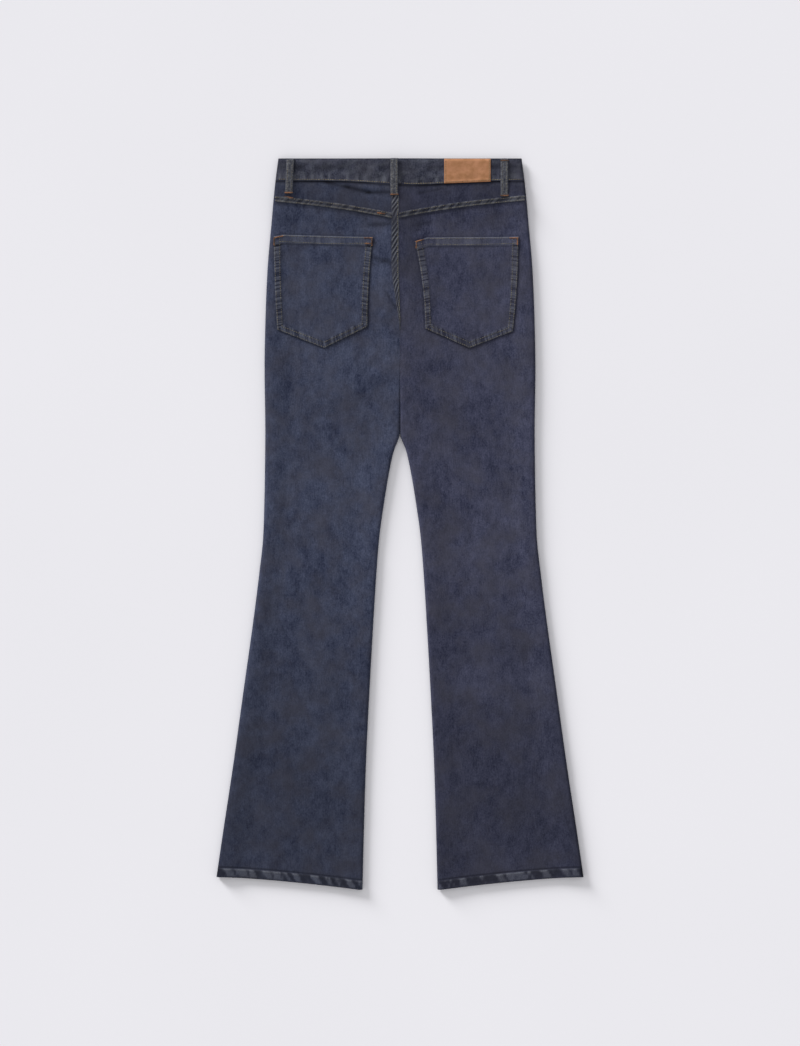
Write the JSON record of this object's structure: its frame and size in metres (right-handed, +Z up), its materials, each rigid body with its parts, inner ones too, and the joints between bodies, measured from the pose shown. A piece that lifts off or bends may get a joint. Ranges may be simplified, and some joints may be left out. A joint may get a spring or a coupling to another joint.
{
  "type": "bootcut jeans",
  "caption": "Dark indigo bootcut jeans laid flat, back side up, with pointed back pockets, back yokes, a looped waistband and a blank leather patch.",
  "frame": {"origin": "on the surface the garment lies on, under the middle of its bounding box", "axes": "+X across the garment, +Y from the hems to the waist, +Z up, away from the surface; the back of the garment faces +Z"},
  "size_m": [0.5372, 1.0694, 0.0126],
  "materials": {
    "denim": "dark indigo stretch denim, rinsed, with tan topstitching and worn seam edges",
    "patch_leather": "tan leather, matt, blank",
    "zip_tape": "woven navy tape with a closed metal chain",
    "brass": "antique brass, plain"
  },
  "bodies": {
    "root": {"back_left": "denim", "back_right": "denim", "front_left": "denim", "front_right": "denim", "yoke_left": "denim", "yoke_right": "denim", "waistband": "denim", "back_pocket_left": "denim", "back_pocket_right": "denim", "loop_back_left": "denim", "loop_back_centre": "denim", "loop_back_right": "denim", "loop_front_left": "denim", "loop_front_right": "denim", "patch": "patch_leather", "zip": "zip_tape", "zip_slider": "brass", "button": "brass"}
  },
  "joints": []
}
